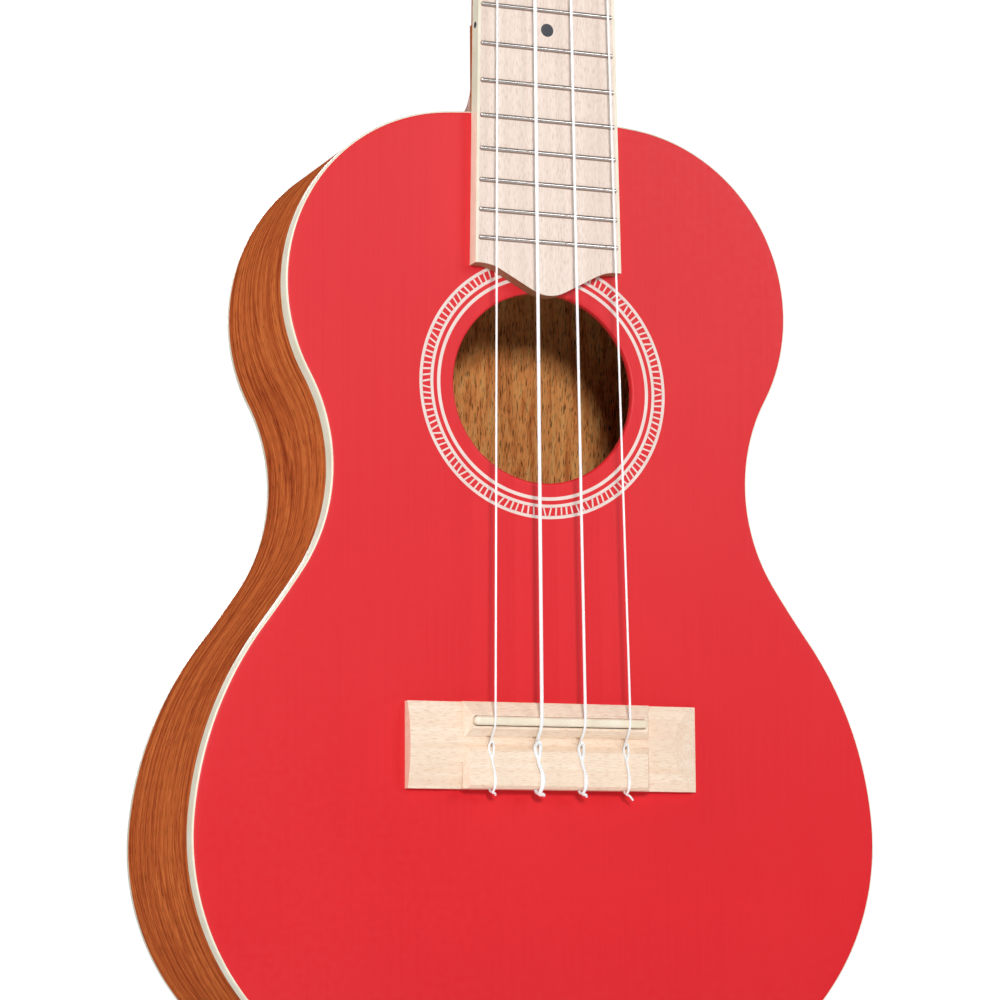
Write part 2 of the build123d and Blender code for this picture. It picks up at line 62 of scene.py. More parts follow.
body_low, body_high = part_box("front_binding")
TOP_Z = body_high.z / MM
saddle_low, saddle_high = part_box("saddle")
SADDLE_Z = (saddle_low.z + saddle_high.z) / 2 / MM
rosette_low, rosette_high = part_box("rosette")
HOLE_Z = (rosette_low.z + rosette_high.z) / 2 / MM
ROSETTE_R = (rosette_high.x - rosette_low.x) / 2 / MM
HOLE_R = 26.9
# Where the red lacquer ends on the binding's rounded edge: its inset and depth
EDGE_LINE = 0.45
EDGE_DEPTH = 0.10
# Grain runs on from one rim station to the next, except where the outline's length starts again
SEAM_JUMP = 50.0
# Metres: the instrument hangs from its wall hanger, clear of the floor
FLOOR_DROP = 0.40
FLOOR_SIZE = 4.0


# ---------------------------------------------------------------- helpers: meshes
def make_object(name, mesh, material, body="instrument", smooth=True):
    """Links a mesh as a piece that rides on a body."""
    piece = bpy.data.objects.new(name, mesh)
    bpy.context.scene.collection.objects.link(piece)
    for item in material if isinstance(material, (list, tuple)) else [material]:
        piece.data.materials.append(item)
    if smooth and hasattr(mesh, "polygons"):
        mesh.polygons.foreach_set("use_smooth", [True] * len(mesh.polygons))
    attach(piece, body)
    return piece


def bevel(piece, width, segments=2):
    """Rounds a piece's sharp edges a little, as finishing does."""
    modifier = piece.modifiers.new("edge", "BEVEL")
    modifier.width = width * MM
    modifier.segments = segments
    modifier.limit_method = "ANGLE"
    modifier.angle_limit = math.radians(30.0)
    modifier.harden_normals = True


def rim_half(step=1.5):
    """The right half of the body's outline, top to tail: (x, z, outward x, outward z, arc length)."""
    stations = []
    x, z, heading, run = 0.0, TOP_Z, 0.0, 0.0
    arcs = list(RIM_ARCS)
    for index in range(len(arcs) + 1):
        if index < len(arcs):
            radius, turn = arcs[index]
        else:
            turn = -(180.0 + heading)
            radius = x / math.sin(math.radians(180.0 + heading))
        side = 1 if turn > 0 else -1
        h = math.radians(heading)
        centre = (x - side * radius * math.sin(h), z + side * radius * math.cos(h))
        count = max(2, math.ceil(radius * math.radians(abs(turn)) / step))
        for k in range(count + (index == len(arcs))):
            a = math.radians(heading + turn * k / count)
            px = centre[0] + side * radius * math.sin(a)
            pz = centre[1] - side * radius * math.cos(a)
            length = run + radius * math.radians(abs(turn)) * k / count
            stations.append((px, pz, -math.sin(a), math.cos(a), length))
        run += radius * math.radians(abs(turn))
        heading += turn
        a = math.radians(heading)
        x = centre[0] + side * radius * math.sin(a)
        z = centre[1] - side * radius * math.cos(a)
    return stations


RIGHT = rim_half()
LEFT = [(-x, z, -nx, nz, -s) for x, z, nx, nz, s in RIGHT]
LOOP = RIGHT + LEFT[-2:0:-1]


def back_depth(z):
    """Depth of the back's outer face at height z."""
    return DEPTH_AT_NECK + DEPTH_SLOPE * (TOP_Z - z)


def rim_sweep(name, stations, profile, closed_loop=True, face_materials=None):
    """Sweeps a closed section round the rim. The section holds (inset, depth) or (inset, "back", depth)."""
    mesh = bpy.data.meshes.new(name)
    verts, depths, faces, indices, loop_uvs = [], [], [], [], []
    for x, z, nx, nz, s in stations:
        for point in profile:
            inset = point[0]
            px, pz = x - inset * nx, z - inset * nz
            depth = point[1] if point[1] != "back" else back_depth(pz) - point[2]
            verts.append((px * MM, depth * MM, pz * MM))
            depths.append(depth)
    n, m = len(stations), len(profile)
    for i in range(n if closed_loop else n - 1):
        j = (i + 1) % n
        for k in range(m):
            q = (k + 1) % m
            faces.append((i * m + k, i * m + q, j * m + q, j * m + k))
            indices.append(face_materials[k] if face_materials else 0)
            u0, u1 = stations[i][4], stations[j][4]
            if abs(u1 - u0) > SEAM_JUMP:
                u1 = u0
            loop_uvs += [
                (u0 * MM, depths[i * m + k] * MM), (u0 * MM, depths[i * m + q] * MM),
                (u1 * MM, depths[j * m + q] * MM), (u1 * MM, depths[j * m + k] * MM),
            ]
    if not closed_loop:
        faces.append(tuple(range(m)))
        faces.append(tuple((n - 1) * m + k for k in reversed(range(m))))
        indices += [0, 0]
        loop_uvs += [(stations[0][4] * MM, depths[k] * MM) for k in range(m)]
        loop_uvs += [(stations[-1][4] * MM, depths[k] * MM) for k in reversed(range(m))]
    mesh.from_pydata(verts, [], faces)
    layer = mesh.uv_layers.new(name="UVMap")
    for loop, uv in enumerate(loop_uvs):
        layer.data[loop].uv = uv
    mesh.polygons.foreach_set("material_index", indices)
    recalculate(mesh)
    return mesh


def recalculate(mesh):
    """Turns every face of a closed mesh outwards."""
    work = bmesh.new()
    work.from_mesh(mesh)
    bmesh.ops.recalc_face_normals(work, faces=work.faces)
    work.to_mesh(mesh)
    work.free()
    mesh.update()


def sharpen(mesh, degrees=35.0):
    """Marks edges sharper than an angle, so that smooth shading stops there."""
    work = bmesh.new()
    work.from_mesh(mesh)
    for edge in work.edges:
        if len(edge.link_faces) == 2 and edge.calc_face_angle(0.0) > math.radians(degrees):
            edge.smooth = False
    work.to_mesh(mesh)
    work.free()


def tube(name, points, radius, material, body, order=4, resolution=6):
    """A round cord along a smooth curve through control points given in millimetres."""
    curve = bpy.data.curves.new(name, "CURVE")
    curve.dimensions = "3D"
    curve.bevel_depth = radius * MM
    curve.bevel_resolution = 5
    curve.use_fill_caps = True
    spline = curve.splines.new("NURBS")
    spline.points.add(len(points) - 1)
    for target, point in zip(spline.points, points):
        target.co = (point[0] * MM, point[1] * MM, point[2] * MM, 1.0)
    spline.order_u = order
    spline.use_endpoint_u = True
    spline.resolution_u = resolution
    return make_object(name, curve, material, body)


# ---------------------------------------------------------------- helpers: materials
def linear(r, g, b):
    """A screen colour, 0 to 255, as linear light."""
    values = []
    for channel in (r, g, b):
        c = channel / 255
        values.append(c / 12.92 if c <= 0.04045 else ((c + 0.055) / 1.055) ** 2.4)
    return (*values, 1.0)


class Shader:
    """A Principled material and short calls that add nodes to it."""

    def __init__(self, name, color=(0.8, 0.8, 0.8, 1.0), roughness=0.5, **settings):
        self.material = bpy.data.materials.new(name)
        self.material.use_nodes = True
        self.tree = self.material.node_tree
        self.tree.nodes.clear()
        output = self.tree.nodes.new("ShaderNodeOutputMaterial")
        self.bsdf = self.tree.nodes.new("ShaderNodeBsdfPrincipled")
        self.tree.links.new(self.bsdf.outputs[0], output.inputs[0])
        self.bsdf.inputs["Base Color"].default_value = color
        self.bsdf.inputs["Roughness"].default_value = roughness
        for key, value in settings.items():
            self.bsdf.inputs[key.replace("_", " ").title().replace("Ior", "IOR")].default_value = value

    def put(self, socket, value):
        if isinstance(value, bpy.types.NodeSocket):
            self.tree.links.new(value, socket)
        else:
            socket.default_value = value

    def coordinates(self, kind="Object"):
        node = self.tree.nodes.new("ShaderNodeTexCoord")
        return node.outputs[kind]

    def scale(self, vector, scale, offset=(0.0, 0.0, 0.0)):
        """Coordinates in metres turned into texture units: scale is units per millimetre on each axis."""
        node = self.tree.nodes.new("ShaderNodeMapping")
        node.inputs["Scale"].default_value = [s * 1000.0 for s in scale]
        node.inputs["Location"].default_value = offset
        self.put(node.inputs["Vector"], vector)
        return node.outputs[0]

    def noise(self, vector, detail=3.0, roughness=0.55, distortion=0.0):
        node = self.tree.nodes.new("ShaderNodeTexNoise")
        node.inputs["Scale"].default_value = 1.0
        node.inputs["Detail"].default_value = detail
        node.inputs["Roughness"].default_value = roughness
        node.inputs["Distortion"].default_value = distortion
        self.put(node.inputs["Vector"], vector)
        return node.outputs["Fac"]

    def ramp(self, value, low, high, to_low=0.0, to_high=1.0):
        node = self.tree.nodes.new("ShaderNodeMapRange")
        self.put(node.inputs["Value"], value)
        for socket, number in zip(("From Min", "From Max", "To Min", "To Max"), (low, high, to_low, to_high)):
            node.inputs[socket].default_value = number
        return node.outputs[0]

    def math(self, kind, a, b=0.0):
        node = self.tree.nodes.new("ShaderNodeMath")
        node.operation = kind
        self.put(node.inputs[0], a)
        self.put(node.inputs[1], b)
        return node.outputs[0]

    def vector_add(self, a, b):
        node = self.tree.nodes.new("ShaderNodeVectorMath")
        self.put(node.inputs[0], a)
        self.put(node.inputs[1], b)
        return node.outputs[0]

    def combine(self, x=0.0, y=0.0, z=0.0):
        node = self.tree.nodes.new("ShaderNodeCombineXYZ")
        for socket, value in zip(node.inputs, (x, y, z)):
            self.put(socket, value)
        return node.outputs[0]

    def separate(self, vector):
        node = self.tree.nodes.new("ShaderNodeSeparateXYZ")
        self.put(node.inputs[0], vector)
        return node.outputs

    def mix(self, factor, a, b):
        node = self.tree.nodes.new("ShaderNodeMix")
        node.data_type = "RGBA"
        self.put(node.inputs["Factor"], factor)
        self.put(node.inputs[6], a)
        self.put(node.inputs[7], b)
        return node.outputs[2]

    def color(self, value):
        self.put(self.bsdf.inputs["Base Color"], value)

    def roughness(self, value):
        self.put(self.bsdf.inputs["Roughness"], value)

    def bump(self, height, depth_mm):
        node = self.tree.nodes.new("ShaderNodeBump")
        node.inputs["Distance"].default_value = depth_mm * MM
        self.put(node.inputs["Height"], height)
        self.put(self.bsdf.inputs["Normal"], node.outputs[0])


def wood(name, light, middle, dark, pore, along, kind="Object", gloss=0.42, specular=0.1):
    """Open-grained wood. along names the axis that the grain follows."""
    shader = Shader(name, middle, gloss, specular_ior_level=specular)
    where = shader.coordinates(kind)
    axes = {"x": (0, 1, 2), "y": (1, 0, 2), "z": (2, 0, 1)}[along]

    def stretched(grain, cross, offset=(0.0, 0.0, 0.0)):
        scale = [cross, cross, cross]
        scale[axes[0]] = grain
        return shader.scale(where, scale, offset)

    wave = shader.noise(stretched(0.012, 0.05), 1.0)
    push = shader.math("MULTIPLY", shader.math("SUBTRACT", wave, 0.5), 9.0)
    shift = [0.0, 0.0, 0.0]
    for axis in axes[1:]:
        shift[axis] = push
    shifted = shader.vector_add(stretched(0.011, 0.55), shader.combine(*shift))
    broad = shader.noise(shifted, 4.0, 0.6)
    fine = shader.noise(stretched(0.07, 2.8, (3.1, 1.7, 5.3)), 6.0, 0.72, 0.4)
    tone = shader.math("ADD", shader.math("MULTIPLY", broad, 0.6), shader.math("MULTIPLY", fine, 0.4))
    base = shader.mix(shader.ramp(tone, 0.40, 0.50), dark, middle)
    base = shader.mix(shader.ramp(tone, 0.50, 0.62), base, light)
    vessels = shader.noise(stretched(0.24, 3.6, (7.0, 2.0, 9.0)), 2.0, 0.5)
    mask = shader.ramp(vessels, 0.56, 0.66, 0.0, 0.85)
    shader.color(shader.mix(mask, base, pore))
    shader.roughness(shader.ramp(fine, 0.3, 0.7, gloss + 0.08, gloss - 0.06))
    height = shader.math("SUBTRACT", shader.math("MULTIPLY", fine, 0.25), mask)
    shader.bump(height, 0.04)
    return shader.material


def maple(name, along, light, warm, fleck, gloss=0.45):
    """Close-grained pale wood with thin darker lines and short flecks along the grain."""
    shader = Shader(name, light, gloss, coat_weight=0.12, coat_roughness=0.35)
    where = shader.coordinates()
    index = "xyz".index(along)

    def stretched(grain, cross, offset=(0.0, 0.0, 0.0)):
        scale = [cross, cross, cross]
        scale[index] = grain
        return shader.scale(where, scale, offset)

    rings = shader.noise(stretched(0.006, 0.4, (1.0, 4.0, 2.0)), 3.0, 0.6, 0.2)
    lines = shader.noise(stretched(0.05, 2.6), 3.0, 0.6)
    flecks = shader.noise(stretched(0.5, 3.6, (5.0, 8.0, 3.0)), 3.0, 0.6)
    base = shader.mix(shader.ramp(rings, 0.35, 0.65), light, warm)
    base = shader.mix(shader.ramp(lines, 0.52, 0.72, 0.0, 0.6), base, warm)
    mask = shader.ramp(flecks, 0.50, 0.66, 0.0, 0.7)
    shader.color(shader.mix(mask, base, fleck))
    shader.roughness(shader.ramp(lines, 0.3, 0.7, gloss - 0.05, gloss + 0.08))
    shader.bump(shader.math("SUBTRACT", lines, mask), 0.02)
    return shader.material


def paint(name):
    """Satin red lacquer over a fine vertical grain, with painted sheen: a little lighter towards the neck."""
    shader = Shader(name, linear(222, 36, 44), 0.4, specular_ior_level=0.25)
    where = shader.coordinates()
    along = shader.separate(where)[2]
    # Painted sheen: the red is deepest at the tail and grows lighter towards the neck
    base = shader.mix(shader.ramp(along, -0.49, -0.43), linear(214, 34, 44), linear(222, 32, 41))
    base = shader.mix(shader.ramp(along, -0.40, -0.22), base, linear(222, 47, 53))
    grain = shader.noise(shader.scale(where, (1.1, 0.3, 0.012)), 4.0, 0.6)
    cloud = shader.noise(shader.scale(where, (0.02, 0.02, 0.014)), 2.0)
    base = shader.mix(shader.ramp(grain, 0.42, 0.66, 0.0, 0.22), base, linear(210, 26, 36))
    base = shader.mix(shader.ramp(cloud, 0.4, 0.65, 0.0, 0.15), base, linear(228, 50, 54))
    shader.color(base)
    peel = shader.noise(shader.scale(where, (0.5, 0.5, 0.5)), 2.0)
    shader.roughness(shader.ramp(peel, 0.3, 0.7, 0.36, 0.46))
    height = shader.math("ADD", shader.math("MULTIPLY", grain, 0.8), shader.math("MULTIPLY", peel, 0.3))
    shader.bump(height, 0.012)
    return shader.material


def moulded(name, color, warm, gloss=0.3, scale=0.15, depth=0.01, **settings):
    """Plastic or bone: a faint cloudy tone and a slightly uneven polish."""
    shader = Shader(name, color, gloss, **settings)
    where = shader.coordinates()
    cloud = shader.noise(shader.scale(where, (scale, scale, scale)), 4.0, 0.6)
    shader.color(shader.mix(shader.ramp(cloud, 0.35, 0.65), color, warm))
    polish = shader.noise(shader.scale(where, (1.6, 1.6, 1.6)), 3.0)
    shader.roughness(shader.ramp(polish, 0.3, 0.7, gloss - 0.06, gloss + 0.08))
    shader.bump(polish, depth)
    return shader.material


def metal(name, color, gloss, tarnish, brushed=False):
    """Plated or brushed metal with fine scratches, which run across when it is brushed."""
    shader = Shader(name, color, gloss, metallic=1.0)
    where = shader.coordinates()
    scale = (0.2, 6.0, 6.0) if brushed else (2.5, 2.5, 2.5)
    scratch = shader.noise(shader.scale(where, scale), 4.0, 0.6)
    cloud = shader.noise(shader.scale(where, (0.25, 0.25, 0.25)), 3.0)
    shader.color(shader.mix(shader.ramp(cloud, 0.45, 0.7, 0.0, 0.7), color, tarnish))
    shader.roughness(shader.ramp(scratch, 0.3, 0.7, gloss - 0.04, gloss + 0.1))
    shader.bump(scratch, 0.006)
    return shader.material


def fret_wire(name):
    """Nickel wire, polished on top, with painted shade: its flanks and foot are coloured dark, the lower
    flank darkest.
    """
    shader = Shader(name, (0.8, 0.8, 0.8, 1.0), 0.22, metallic=1.0)
    board_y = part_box("fretboard")[0].y
    crown_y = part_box("frets")[0].y
    # Painted shade: the colour darkens from the top of the wire down its flanks to the board, and faces that
    # look up are kept lighter
    height = shader.ramp(shader.separate(shader.coordinates())[1], board_y, crown_y)
    upward_painted_light = shader.math("MULTIPLY", shader.separate(shader.coordinates("Normal"))[2], 0.10)
    unshaded_crown = shader.ramp(shader.math("ADD", height, upward_painted_light), 0.72, 0.95)
    scratch = shader.noise(shader.scale(shader.coordinates(), (0.2, 6.0, 6.0)), 4.0, 0.6)
    polished = shader.mix(scratch, (0.90, 0.88, 0.86, 1.0), (0.76, 0.73, 0.70, 1.0))
    # The dark brown-grey is painted shade on the flanks and foot
    shader.color(shader.mix(unshaded_crown, (0.40, 0.30, 0.26, 1.0), polished))
    shader.roughness(shader.ramp(unshaded_crown, 0.0, 1.0, 0.5, 0.2))
    shader.bump(scratch, 0.006)
    return shader.material


# ---------------------------------------------------------------- materials
RED = paint("red_lacquer")
MAHOGANY_RIM = wood(
    "mahogany_rim", linear(222, 124, 66), linear(194, 96, 50), linear(150, 64, 34), linear(92, 38, 20),
    "x", "UV", gloss=0.6, specular=0.0,
)
MAHOGANY = wood(
    "mahogany", linear(200, 114, 58), linear(176, 90, 42), linear(142, 68, 32), linear(90, 44, 24), "z"
)
MAHOGANY_RAW = wood(
    "mahogany_raw", linear(255, 190, 116), linear(252, 164, 92), linear(214, 122, 62), linear(58, 24, 12),
    "z", gloss=0.7,
)
# Painted shade: a wood darker than the raw wood it stands for, so that the inside of the body stays dark
SHADED_INSIDE_WOOD = wood(
    "painted_shade_inner_wood", linear(118, 74, 46), linear(98, 60, 38), linear(78, 46, 30), linear(44, 26, 18),
    "z", gloss=0.7,
)
SPRUCE = maple("spruce", "x", linear(222, 190, 148), linear(205, 168, 120), linear(180, 138, 92), 0.65)
MAPLE_BOARD = maple("maple_board", "z", linear(243, 226, 214), linear(234, 214, 200), linear(210, 186, 170))
MAPLE_BRIDGE = maple(
    "maple_bridge", "x", linear(250, 232, 212), linear(243, 216, 190), linear(226, 188, 158), 0.5
)
CREAM = moulded("cream_binding", linear(243, 236, 216), linear(236, 226, 202), 0.32)
INLAY = moulded("inlay_white", linear(240, 222, 214), linear(234, 212, 204), 0.4)
BONE = moulded("bone", linear(246, 236, 216), linear(238, 224, 198), 0.3)
NYLON = moulded("nylon", linear(250, 250, 250), linear(244, 246, 248), 0.18, 0.3, 0.003, coat_weight=0.3)
DARK_INLAY = moulded("dark_inlay", linear(62, 66, 74), linear(48, 50, 58), 0.45)
FRET_WIRE = fret_wire("fret_wire")
CHROME = metal("tuner_chrome", (0.82, 0.82, 0.83, 1.0), 0.1, (0.70, 0.70, 0.71, 1.0))
BRASS = metal("gear_brass", (0.78, 0.58, 0.27, 1.0), 0.25, (0.55, 0.38, 0.16, 1.0))
STEEL = metal("worm_steel", (0.62, 0.62, 0.62, 1.0), 0.22, (0.45, 0.44, 0.42, 1.0), True)
PEARL = moulded("button_pearl", linear(238, 234, 224), linear(226, 220, 206), 0.22, 0.35, coat_weight=0.5)

node_looks = {
    "back": MAHOGANY_RAW, "neck_block": SPRUCE, "tail_block": SPRUCE, "upper_top_brace": SPRUCE,
    "lower_top_brace": SPRUCE, "upper_back_brace": SPRUCE, "lower_back_brace": SPRUCE,
    "bridge_plate": SPRUCE, "front_lining": SPRUCE, "back_lining": SPRUCE,
    "bridge": MAPLE_BRIDGE, "saddle": BONE, "fretboard": MAPLE_BOARD, "fretboard_binding": CREAM,
    "position_dots": DARK_INLAY, "side_dots": DARK_INLAY, "frets": FRET_WIRE, "nut": BONE,
    "neck": MAHOGANY, "heel_cap": CREAM, "headstock_veneer": RED, "tuner_screws": CHROME,
}
for number in range(1, 5):
    node_looks[f"tuner_{number}_plate"] = CHROME
    node_looks[f"tuner_{number}_bushing"] = CHROME
    node_looks[f"tuner_{number}_post"] = CHROME
    node_looks[f"tuner_{number}_gear"] = BRASS
    node_looks[f"tuner_{number}_worm"] = STEEL
    node_looks[f"tuner_{number}_button"] = PEARL
for name, material in node_looks.items():
    mesh = nodes[name].data
    mesh.materials.clear()
    mesh.materials.append(material)
    mesh.polygons.foreach_set("material_index", [0] * len(mesh.polygons))

# Painted shade: the fretboard's faces that look down at its end are coloured dark brown
# A dark brown maple that stands for the end in shade
END_SHADE = maple("painted_shade_end", "x", linear(176, 122, 88), linear(158, 104, 72), linear(126, 80, 54), 0.6)
last_fret_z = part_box("frets")[0].z
for name in ("fretboard", "fretboard_binding"):
    nodes[name].data.materials.append(END_SHADE)
    for face in nodes[name].data.polygons:
        if face.normal.z < -0.3 and face.center.z < last_fret_z:
            face.material_index = 1

# The back is raw wood inside and lacquered outside, told apart by which way the face looks
nodes["back"].data.materials.append(MAHOGANY)
for face in nodes["back"].data.polygons:
    if face.normal.y > 0.2:
        face.material_index = 1

bevel(nodes["bridge"], 0.22, 3)
bevel(nodes["nut"], 0.2)
bevel(nodes["headstock_veneer"], 0.3)
bevel(nodes["heel_cap"], 0.3)
for number in range(1, 5):
    bevel(nodes[f"tuner_{number}_button"], 0.7, 4)
    bevel(nodes[f"tuner_{number}_plate"], 0.2)
    bevel(nodes[f"tuner_{number}_gear"], 0.12)

# ---------------------------------------------------------------- body shell
# The front binding: red lacquer laps over its top, then a rounded cream edge
binding_section = [
    (BINDING_T, 0.035), (0.9, 0.055), (EDGE_LINE, EDGE_DEPTH), (0.3, 0.17), (0.17, 0.28), (0.07, 0.45),
    (0.02, 0.62), (0.0, 0.85), (0.0, BINDING_H), (BINDING_T, BINDING_H),
]
binding_faces = [1, 1, 0, 0, 0, 0, 0, 0, 0, 0]
front = rim_sweep("front_binding_strip", LOOP, binding_section, True, binding_faces)
sharpen(front, 50)
piece = make_object("front_binding_strip", front, [CREAM, RED])
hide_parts("front_binding")

back_section = [
    (0.0, "back", BACK_BINDING_H), (0.0, "back", 0.9), (0.1, "back", 0.45), (0.3, "back", 0.15),
    (0.6, "back", 0.02), (0.9, "back", 0.0), (BINDING_T, "back", 0.0), (BINDING_T, "back", BACK_BINDING_H),
]
strip = rim_sweep("back_binding_strip", LOOP, back_section)
sharpen(strip, 50)
piece = make_object("back_binding_strip", strip, CREAM)
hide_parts("back_binding")

side_section = [
    (0.0, BINDING_H), (0.0, "back", BACK_BINDING_H), (BINDING_T, "back", BACK_BINDING_H),
    (BINDING_T, "back", BACK_T), (SIDE_T, "back", BACK_T), (SIDE_T, SOUNDBOARD_T),
    (BINDING_T, SOUNDBOARD_T), (BINDING_T, BINDING_H),
]
for label, stations in (("left", LEFT), ("right", RIGHT)):
    rim = rim_sweep(f"side_{label}_bent", stations, side_section, False)
    sharpen(rim, 50)
    piece = make_object(f"side_{label}_bent", rim, MAHOGANY_RIM)
    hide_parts(f"side_{label}")

# The soundboard: a flat field, a soft fall to the binding, and a rounded lip at the sound hole
work = bmesh.new()


def ring(points, depth):
    """A loop of vertices at one depth."""
    return [work.verts.new((x * MM, depth * MM, z * MM)) for x, z in points]


def join(a, b):
    """A band of faces between two loops."""
    for i in range(len(a)):
        j = (i + 1) % len(a)
        work.faces.new((a[i], a[j], b[j], b[i]))


def rim_points(inset):
    """The body's outline, moved inwards."""
    return [(x - inset * nx, z - inset * nz) for x, z, nx, nz, length in LOOP]


def circle_points(radius, count=160):
    """A circle round the sound hole's middle."""
    steps = [2 * math.pi * k / count for k in range(count)]
    return [(radius * math.sin(a), HOLE_Z + radius * math.cos(a)) for a in steps]


edge_fall = [
    (BINDING_T, SOUNDBOARD_T), (BINDING_T, 0.035), (1.9, 0.022), (2.6, 0.01), (3.4, 0.003), (4.2, 0.0),
    (4.6, 0.0),
]
rings = [ring(rim_points(inset), depth) for inset, depth in edge_fall]
for a, b in zip(rings, rings[1:]):
    join(a, b)
lip = [
    (1.2, 0.0), (0.8, 0.0), (0.45, 0.05), (0.2, 0.17), (0.05, 0.36), (0.0, 0.6), (0.0, SOUNDBOARD_T),
]
lips = [ring(circle_points(HOLE_R + outward), depth) for outward, depth in lip]
for a, b in zip(lips, lips[1:]):
    join(a, b)
for outer, inner in ((rings[-1], lips[0]), (rings[0], lips[-1])):
    edges = []
    for points in (outer, inner):
        for i in range(len(points)):
            pair = (points[i], points[(i + 1) % len(points)])
            edges.append(work.edges.get(pair) or work.edges.new(pair))
    bmesh.ops.triangle_fill(work, use_beauty=True, use_dissolve=False, edges=edges)
bmesh.ops.recalc_face_normals(work, faces=work.faces)
board = bpy.data.meshes.new("soundboard_top")
work.to_mesh(board)
work.free()
sharpen(board, 50)
piece = make_object("soundboard_top", board, [RED, SHADED_INSIDE_WOOD])
# Painted shade: the soundboard's underside takes the dark inside wood
for face in board.polygons:
    if face.center.y > (SOUNDBOARD_T - 0.1) * MM:
        face.material_index = 1
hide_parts("soundboard")

# ---------------------------------------------------------------- rosette
# Depths of the inlay's face and foot, then the radii of its three round lines and of the rungs' ends
PROUD = -0.03
SUNK = 0.35
THIN_LINE = (30.87, 31.83)
INNER_LINE = (32.94, 33.80)
OUTER_LINE = (36.12, ROSETTE_R)
RUNG_ENDS = (33.7, 36.2)
RUNG_COUNT = 132
RUNG_GROUPS = 16
work = bmesh.new()


def annulus(inner, outer, count=240):
    """A flat round line of the rosette."""
    shape = [(inner, SUNK), (inner, PROUD), (outer, PROUD), (outer, SUNK)]
    loops = [ring(circle_points(radius, count), depth) for radius, depth in shape]
    for i in range(4):
        join(loops[i], loops[(i + 1) % 4])


def rung(angle, tilt, width, inner, outer):
    """A narrow bar across the ring, leaning by a tilt."""
    corners = []
    for radius in (inner, outer):
        lean = math.tan(tilt) * (radius - (inner + outer) / 2) / radius
        for sign in (-1, 1):
            a = angle + lean + sign * width / 2 / radius / math.cos(tilt)
            corners.append((radius * math.sin(a), HOLE_Z + radius * math.cos(a)))
    order = [0, 1, 3, 2]
    top = [work.verts.new((corners[i][0] * MM, PROUD * MM, corners[i][1] * MM)) for i in order]
    low = [work.verts.new((corners[i][0] * MM, SUNK * MM, corners[i][1] * MM)) for i in order]
    work.faces.new(top)
    work.faces.new(list(reversed(low)))
    for i in range(4):
        j = (i + 1) % 4
        work.faces.new((top[i], low[i], low[j], top[j]))


for line in (THIN_LINE, INNER_LINE, OUTER_LINE):
    annulus(*line)
for k in range(RUNG_COUNT):
    # The lean grows along each group of rungs, then flips back
    share = (k * RUNG_GROUPS / RUNG_COUNT) % 1.0
    tilt = math.radians(-15.0 + 35.0 * share + random.uniform(-3.0, 3.0))
    angle = 2 * math.pi * (k + random.uniform(-0.05, 0.05)) / RUNG_COUNT
    rung(angle, tilt, random.uniform(0.40, 0.52), *RUNG_ENDS)
bmesh.ops.recalc_face_normals(work, faces=work.faces)
inlay = bpy.data.meshes.new("rosette_inlay")
work.to_mesh(inlay)
work.free()
piece = make_object("rosette_inlay", inlay, INLAY, smooth=False)
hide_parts("rosette")

# ---------------------------------------------------------------- strings
NUT_SLOT = 5.7
NUT_W = 4.0
NUT_X = (-14.1, -4.7, 4.7, 14.1)
SADDLE_X = (-18.7, -5.25, 7.65, 21.1)
SADDLE_H = 9.0
TIE_H = 6.4
POST_X = 17.0
POST_R = 3.0
POST_HEIGHTS = (36.0, 76.0)
WINDING_LOW = 3.6
tuner_places = [(side, height) for side in (-1, 1) for height in POST_HEIGHTS]


def head_point(x, up, out):
    """A point on the tilted headstock: across, up its face, and out along its normal."""
    y = up * math.sin(HEAD_TILT) - out * math.cos(HEAD_TILT)
    z = NUT_W + up * math.cos(HEAD_TILT) + out * math.sin(HEAD_TILT)
    return (x, y, z)


